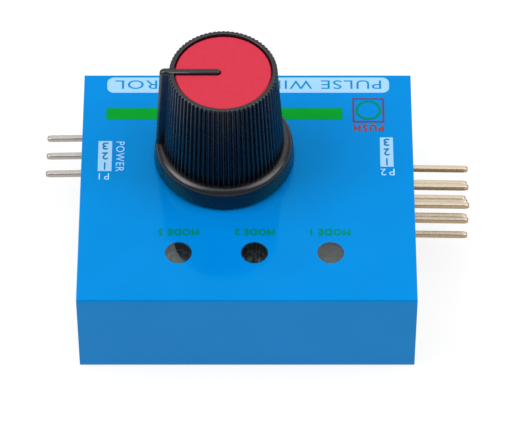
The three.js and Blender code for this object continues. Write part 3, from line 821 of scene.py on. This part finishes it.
def letters(name, text, spacing):
    curve = bpy.data.curves.new(name, "FONT")
    curve.body = text
    curve.space_character = spacing
    curve.resolution_u = 8
    return curve_to_mesh(name, curve)


def lettering(name, text, centre, size, ink, turn=180, spacing=1.0, bold=0.0, layer=0):
    """Text stretched to fill size = (width, height) about centre. turn is in degrees about Z.
    Bold text is printed several times, shifted by as much as bold."""
    copies = []
    shifts = [(0, 0)]
    if bold:
        shifts += [(-bold, 0), (bold, 0), (0, -bold), (0, bold)]
    for number, shift in enumerate(shifts):
        piece = letters(name, text, spacing)
        piece.data.transform(Matrix.Rotation(math.radians(turn), 4, "Z"))
        xs = [vertex.co.x for vertex in piece.data.vertices]
        ys = [vertex.co.y for vertex in piece.data.vertices]
        scale_x = (size[0] - 2 * bold) / (max(xs) - min(xs))
        scale_y = (size[1] - 2 * bold) / (max(ys) - min(ys))
        middle = Vector(((max(xs) + min(xs)) / 2, (max(ys) + min(ys)) / 2, 0))
        for vertex in piece.data.vertices:
            offset = vertex.co - middle
            x = centre[0] + shift[0] + offset.x * scale_x
            y = centre[1] + shift[1] + offset.y * scale_y
            vertex.co = (x, y, 0)
        thicken(piece, layer_lift(layer) + number * print_thickness / 20)
        copies.append(piece)
    word = join_pieces(name, copies)
    dress(word, BODY, ink)
    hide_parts("sleeve")


def title_strip():
    corners = rounded_rectangle(*title_ends, *title_edges, title_corner)
    press(filled("print_title_strip", [corners]), ink_pale)
    middle = (sum(title_ends) / 2, sum(title_edges) / 2 + title_raise)
    lettering("print_title", "PULSE WIDTH CONTROL", middle, title_size, ink_title, spacing=1.1, layer=1)


def plain_stripe():
    """A straight level stripe of one width, with square ends, that passes behind the knob."""
    corners = rounded_rectangle(*stripe_ends, *stripe_edges, square_corner, 1)
    press(filled("print_stripe", [corners]), ink_green)


def push_mark():
    """A circle in a square over the push switch, and a word in front of it."""
    low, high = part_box("switch_plunger")
    x, y = (low.x + high.x) / 2, (low.y + high.y) / 2
    circles = [round_loop(x, y, radius) for radius in (push_ring_radius, push_ring_radius - push_ring_line)]
    press(filled("print_select_ring", circles), ink_word_green)
    squares = [
        rounded_rectangle(x - half, x + half, y - half, y + half, square_corner, 1)
        for half in (push_frame_half, push_frame_half - push_frame_line)
    ]
    press(filled("print_select_frame", squares), ink_frame_red, 1)
    centre = (x, y - push_word_drop)
    lettering("print_push", "PUSH", centre, push_word_size, ink_red, spacing=1.3, bold=0.05 * mm, layer=1)


def mode_words():
    """Numbers the lamps from the side on which the print stands upright."""
    for number, name in enumerate(reversed(lamp_names), start=1):
        centre = (lamp_centre(name).x, mode_word_line)
        word = f"MODE {number}"
        size = mode_word_size
        lettering(f"print_mode_{number}", word, centre, size, ink_word_green, spacing=1.15, bold=0.05 * mm)


def header_label(header, word, size, shift, x, edges, width):
    """A pale box with the number of each pin row, and the header's designator in front of it."""
    front, back = edges
    corners = rounded_rectangle(x - width / 2, x + width / 2, front, back, header_box_corner, 2)
    press(filled(f"print_{header}_box", [corners]), ink_pale)
    pitch = (back - front) / 3
    for row, (number, number_width) in enumerate(row_numbers):
        centre = (x, back - (row + 0.5) * pitch)
        name = f"print_{header}_row_{number}"
        lettering(name, number, centre, (number_width, row_number_height), ink_blue, bold=0.03 * mm, layer=1)
    centre = (x + shift, front - header_word_drop)
    lettering(f"print_{header}_word", word, centre, size, ink_white, spacing=1.35)


def add_print():
    title_strip()
    plain_stripe()
    push_mark()
    mode_words()
    for label in header_labels:
        header_label(*label)
    lettering("print_supply", "POWER", supply_place, supply_size, ink_white, turn=-90, spacing=1.15)


# ----------------------------------------------------------------------------------------------------
# Knob
# ----------------------------------------------------------------------------------------------------

def cone_radius_at(height):
    climb = (height - flange_top) / (rim_top - flange_top)
    return cone_radius + (rim_radius - cone_radius) * climb


def rib_sink(share, height):
    """How far the face is sunk. share runs from 0 on a ridge to 1 in the middle of a groove."""
    slope = min(max((share - ridge_share) / flank_share, 0), 1)
    groove = slope * slope * (3 - 2 * slope)
    end = rib_end - rib_arch * (1 - share) ** 2
    run_out = min(max((end - height) / rib_run_out, 0), 1)
    return rib_depth * groove * run_out ** run_out_power


def ribbed_ring(radius, height):
    count = ribs * points_per_rib
    points = []
    for i in range(count):
        share = 1 - abs(2 * (i % points_per_rib) / points_per_rib - 1)
        a = 2 * math.pi * i / count
        out = radius - rib_sink(share, height)
        points.append(Vector((axis.x + out * math.cos(a), axis.y + out * math.sin(a), height)))
    return points


def crowned_edge(radius, top, width, drop, steps=12):
    """(radius, height) pairs from a flat top over an oval edge down to its side."""
    pairs = []
    for i in range(steps + 1):
        a = math.pi / 2 * i / steps
        pairs.append((radius - width * (1 - math.sin(a)), top - drop * (1 - math.cos(a))))
    return pairs


def knob_shell():
    """The whole moulding but its pointer, from the recess for the cap round to the bore."""
    sides = ribs * points_per_rib
    roof = recess_floor - web_thickness
    shelf = flange_top - shell_wall
    plain = [
        (recess_radius - shell_edge, recess_floor),
        (recess_radius, recess_floor + shell_edge),
        (recess_radius, rim_top - rim_edge),
        (recess_radius + 0.3 * rim_edge, rim_top - 0.3 * rim_edge),
        (recess_radius + rim_edge, rim_top),
    ]
    over_rim = list(reversed(quarter(cone_radius_at(rim_top - rim_round), rim_top, rim_round, 8)))
    descent = [rim_top - rim_round - drop for drop in cone_drops]
    down_cone = [(cone_radius_at(height), height) for height in (*descent, flange_top)]
    flange = crowned_edge(flange_top_radius, flange_top, *flange_crown)
    below = [
        (flange_radius, knob_low.z + shell_edge),
        (flange_radius - 0.3 * shell_edge, knob_low.z + 0.3 * shell_edge),
        (flange_radius - shell_edge, knob_low.z),
        (flange_top_radius - shell_wall, knob_low.z),
        (flange_top_radius - shell_wall, shelf - skirt_relief),
        (cone_radius_at(shelf) - shell_wall, shelf),
        (cone_radius_at(roof) - shell_wall, roof),
        (boss_radius, roof),
        (boss_radius, boss_underside),
        (bore_radius, boss_underside),
        (bore_radius, bore_roof),
    ]
    rings = [circle(axis, radius, height, sides) for radius, height in plain]
    rings += [ribbed_ring(radius, height) for radius, height in over_rim + down_cone]
    rings += [circle(axis, radius, height, sides) for radius, height in flange + below]
    shell = loft("knob_shell", rings)
    smooth(shell, 50)
    dress(shell, ROTOR, slot_materials["knob_black"])
    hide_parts("knob_body")


def strip_ring(square, nose, half_width, inset, height, steps=14):
    """A level outline of a strip that runs along X from its square end to its round nose."""
    ahead = math.copysign(1, nose - square)
    half = half_width - inset
    points = []
    for i in range(steps + 1):
        a = math.pi * i / steps
        x = nose - ahead * half_width + ahead * half * math.sin(a)
        points.append(Vector((axis.x + x, axis.y + half * math.cos(a), height)))
    x = axis.x + square + ahead * inset
    points.append(Vector((x, axis.y - half, height)))
    points.append(Vector((x, axis.y + half, height)))
    return points


def pointer_strip(name, square, nose, width, foot, top, edge, lean=0):
    """A strip of the pointer with its upper edges rounded, and its nose by as much as lean more."""
    half = width / 2
    rings = [strip_ring(square, nose[0], half, 0, foot)]
    steps = 7
    for i in range(steps + 1):
        a = math.pi / 2 * i / steps
        height = top - edge * (1 - math.sin(a))
        drawn_in = nose[1] + lean * (1 - math.cos(a))
        rings.append(strip_ring(square, drawn_in, half, edge * (1 - math.cos(a)), height))
    strip = loft(name, rings)
    smooth(strip, 50)
    dress(strip, ROTOR, slot_materials["knob_black"])
    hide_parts("knob_body")


def knob_pointer():
    """The fin up the side, which leans in with the cone, and the bar over the cap."""
    nose = (-fin_foot, -fin_shoulder)
    foot = flange_top - flange_crown[1]
    pointer_strip("knob_fin", -fin_root, nose, fin_width, foot, knob_high.z, fin_round, fin_lean)
    nose = (-bar_start, -bar_start)
    pointer_strip("knob_bar", -bar_end, nose, bar_width, recess_floor - bar_sink, bar_top, bar_round)


# ----------------------------------------------------------------------------------------------------
# Lamps
# ----------------------------------------------------------------------------------------------------

def lamp_lens(name):
    low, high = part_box(f"led_{name}")
    centre = lamp_centre(name)
    flange_top_height = low.z + lamp_flange_height
    profile = [
        (lamp_flange_radius, low.z),
        *quarter(lamp_flange_radius, flange_top_height, 0.12 * mm, 3),
        (lamp_radius, flange_top_height),
        *quarter(lamp_radius, high.z, lamp_radius, 12)[:-1],
    ]
    lens = turned(f"lamp_{name}_lens", centre, profile, 64)
    smooth(lens, 50)
    dress(lens, BODY, slot_materials["lamp_resin"])
    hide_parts(f"led_{name}")


# ----------------------------------------------------------------------------------------------------
# Push switch
# ----------------------------------------------------------------------------------------------------

def snap_dome():
    """The thin steel dome in the switch, built as one fixed shell in its resting shape."""
    low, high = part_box("switch_dome")
    centre = (low + high) / 2
    radius = (high.x - low.x) / 2
    height = high.z - low.z
    ball = (radius ** 2 + height ** 2) / (2 * height)

    def face(sink):
        edge = math.acos((ball - height + sink) / ball)
        angles = [edge * max(i, 0.1) / dome_steps for i in range(dome_steps + 1)]
        return [(ball * math.sin(a), high.z - sink - ball * (1 - math.cos(a))) for a in angles]

    dome = turned("snap_dome", centre, face(dome_thickness) + face(0)[::-1], 48)
    smooth(dome, 50)
    dress(dome, BODY, slot_materials["steel"])
    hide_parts("switch_dome")
    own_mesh(dome)


# ----------------------------------------------------------------------------------------------------
# Solder and copper
# ----------------------------------------------------------------------------------------------------

def lead_places():
    """(x, y) of every lead that passes through the board."""
    places = []
    for number in range(1, 4):
        low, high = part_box(f"input_pin_{number}")
        places.append((high.x - half_pin, (low.y + high.y) / 2))
        low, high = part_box(f"pot_terminal_{number}")
        places.append(((low.x + high.x) / 2, high.y - half_leg))
    for number in range(1, 10):
        low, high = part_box(f"output_pin_{number}")
        places.append((low.x + half_pin, (low.y + high.y) / 2))
    for name in lamp_names:
        for lead in ("cathode", "anode"):
            low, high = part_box(f"led_{name}_{lead}")
            places.append(((low.x + high.x) / 2, (low.y + high.y) / 2))
    for number in (1, 2):
        low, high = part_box(f"switch_contact_{number}")
        places.append(((low.x + high.x) / 2, low.y + half_leg))
        places.append(((low.x + high.x) / 2, high.y - half_leg))
    return places


def solder_joints():
    """A pad with a fillet of solder round each lead, on both faces of the board."""
    pieces = []
    for x, y in lead_places():
        centre = Vector((x, y, 0))
        for face, up in ((board_high.z, 1), (board_low.z, -1)):
            profile = [(solder_radius, face - up * surface_tuck)]
            for i in range(solder_steps + 1):
                climb = i / solder_steps
                radius = solder_radius - (solder_radius - solder_neck) * math.sin(math.pi / 2 * climb)
                profile.append((radius, face + up * (copper_thickness + solder_rise * climb ** 2)))
            pieces.append(turned("fillet", centre, profile, 24))
    joints = join_pieces("solder_joints", pieces)
    smooth(joints, 60)
    dress(joints, BODY, solder)


def board_tracks():
    """Copper tracks under the solder mask, from the headers towards the controller and the lamps."""
    bottom = board_high.z - surface_tuck
    top = board_high.z + copper_thickness
    runs = []
    for number in range(1, 10):
        low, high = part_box(f"output_pin_{number}")
        runs.append((low.x - track_run, low.x + track_overlap, (low.y + high.y) / 2))
    for number in range(1, 4):
        low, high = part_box(f"input_pin_{number}")
        runs.append((high.x - track_overlap, high.x + track_run, (low.y + high.y) / 2))
    corners = [((x0, y - track_half, bottom), (x1, y + track_half, top)) for x0, x1, y in runs]
    for name in lamp_names:
        centre = lamp_centre(name)
        x = centre.x - lamp_lead_offset
        y = centre.y + track_overlap
        corners.append(((x - track_half, y, bottom), (x + track_half, y + lamp_track_run, top)))
    tracks = blocks("board_tracks", corners)
    dress(tracks, BODY, covered_copper)


# ----------------------------------------------------------------------------------------------------
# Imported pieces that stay
# ----------------------------------------------------------------------------------------------------

replaced = {"sleeve", "knob_body", "switch_dome", *(f"led_{name}" for name in lamp_names)}
edge_widths = {
    "gold_pin": 0.04 * mm,
    "tinned_metal": 0.04 * mm,
    "black_plastic": 0.07 * mm,
    "cap_red": 0.14 * mm,
    "laminate": 0.04 * mm,
    "steel": 0.08 * mm,
    "ceramic": 0.05 * mm,
}


def finish_packed_pieces():
    """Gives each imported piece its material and, where its slot has one, a small edge rounding."""
    for name, node in frame["nodes"].items():
        slot = node.data.materials[0].name
        node.data.materials[0] = slot_materials[slot]
        if name not in replaced and slot in edge_widths:
            soften(node, edge_widths[slot], 2, weld=True)


# ----------------------------------------------------------------------------------------------------

add_camera()
add_studio()
add_floor()
film_sleeve()
for lamp in lamp_names:
    window_pane(lamp)
    lamp_lens(lamp)
add_print()
knob_shell()
knob_pointer()
snap_dome()
solder_joints()
board_tracks()
finish_packed_pieces()
